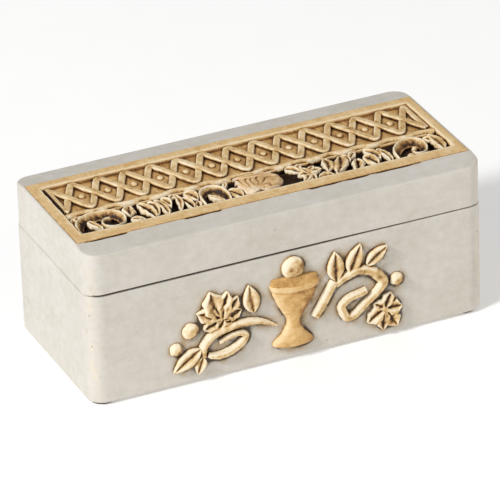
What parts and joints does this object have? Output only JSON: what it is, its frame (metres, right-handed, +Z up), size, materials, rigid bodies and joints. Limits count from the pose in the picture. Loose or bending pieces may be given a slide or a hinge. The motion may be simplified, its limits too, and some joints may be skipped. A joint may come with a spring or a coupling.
{
  "type": "keepsake box",
  "caption": "Oblong cast keepsake box with a loose lift-off lid, a carved plaque of plaited and vine relief on top, and a chalice between vine sprigs on the front.",
  "frame": {"origin": "on the surface the box stands on, under the middle of its whole outline, front relief included", "axes": "+X along the box to the right as seen from the front, -Y out of the decorated front, +Z up"},
  "size_m": [0.16, 0.0746, 0.0637],
  "materials": {
    "box_cast": "matte ivory paint on cast resin with a thin grey wash",
    "lid_cast": "matte ivory paint on cast resin with a thin grey wash",
    "plaque_cast": "matte honey tan paint with dark brown wash in the recesses",
    "carved_relief": "matte honey tan paint with cream highlights and brown wash",
    "felt": "dark felt"
  },
  "bodies": {
    "base": {"box_base": "box_cast", "chalice": "carved_relief", "foot_pad_front_left": "felt", "foot_pad_front_right": "felt", "foot_pad_rear_left": "felt", "foot_pad_rear_right": "felt", "host": "carved_relief", "left_bud_leaf": "carved_relief", "left_grape_leaf": "carved_relief", "left_inner_berry": "carved_relief", "left_large_leaf": "carved_relief", "left_outer_berry": "carved_relief", "left_small_leaf": "carved_relief", "left_vine_curl": "carved_relief", "left_vine_stem": "carved_relief", "right_berry": "carved_relief", "right_grape_leaf": "carved_relief", "right_inner_leaf": "carved_relief", "right_middle_leaf": "carved_relief", "right_outer_leaf": "carved_relief", "right_vine_bend": "carved_relief", "right_vine_stem": "carved_relief"},
    "lid": {"lid_shell": "lid_cast", "lid_plaque": "plaque_cast", "knot_band": "carved_relief", "knot_bosses": "carved_relief", "plaque_rail": "carved_relief", "left_scroll": "carved_relief", "left_scroll_leaves": "carved_relief", "left_spray": "carved_relief", "middle_scroll": "carved_relief", "middle_scroll_leaf": "carved_relief", "dove": "carved_relief", "right_spray": "carved_relief", "right_scroll": "carved_relief", "right_scroll_leaf": "carved_relief", "right_end_leaves": "carved_relief"}
  },
  "joints": [
    {"name": "lid_lift", "type": "slide", "parent": "base", "child": "lid", "axis": [0, 0, 1], "range_m": [0, 0.08]}
  ]
}
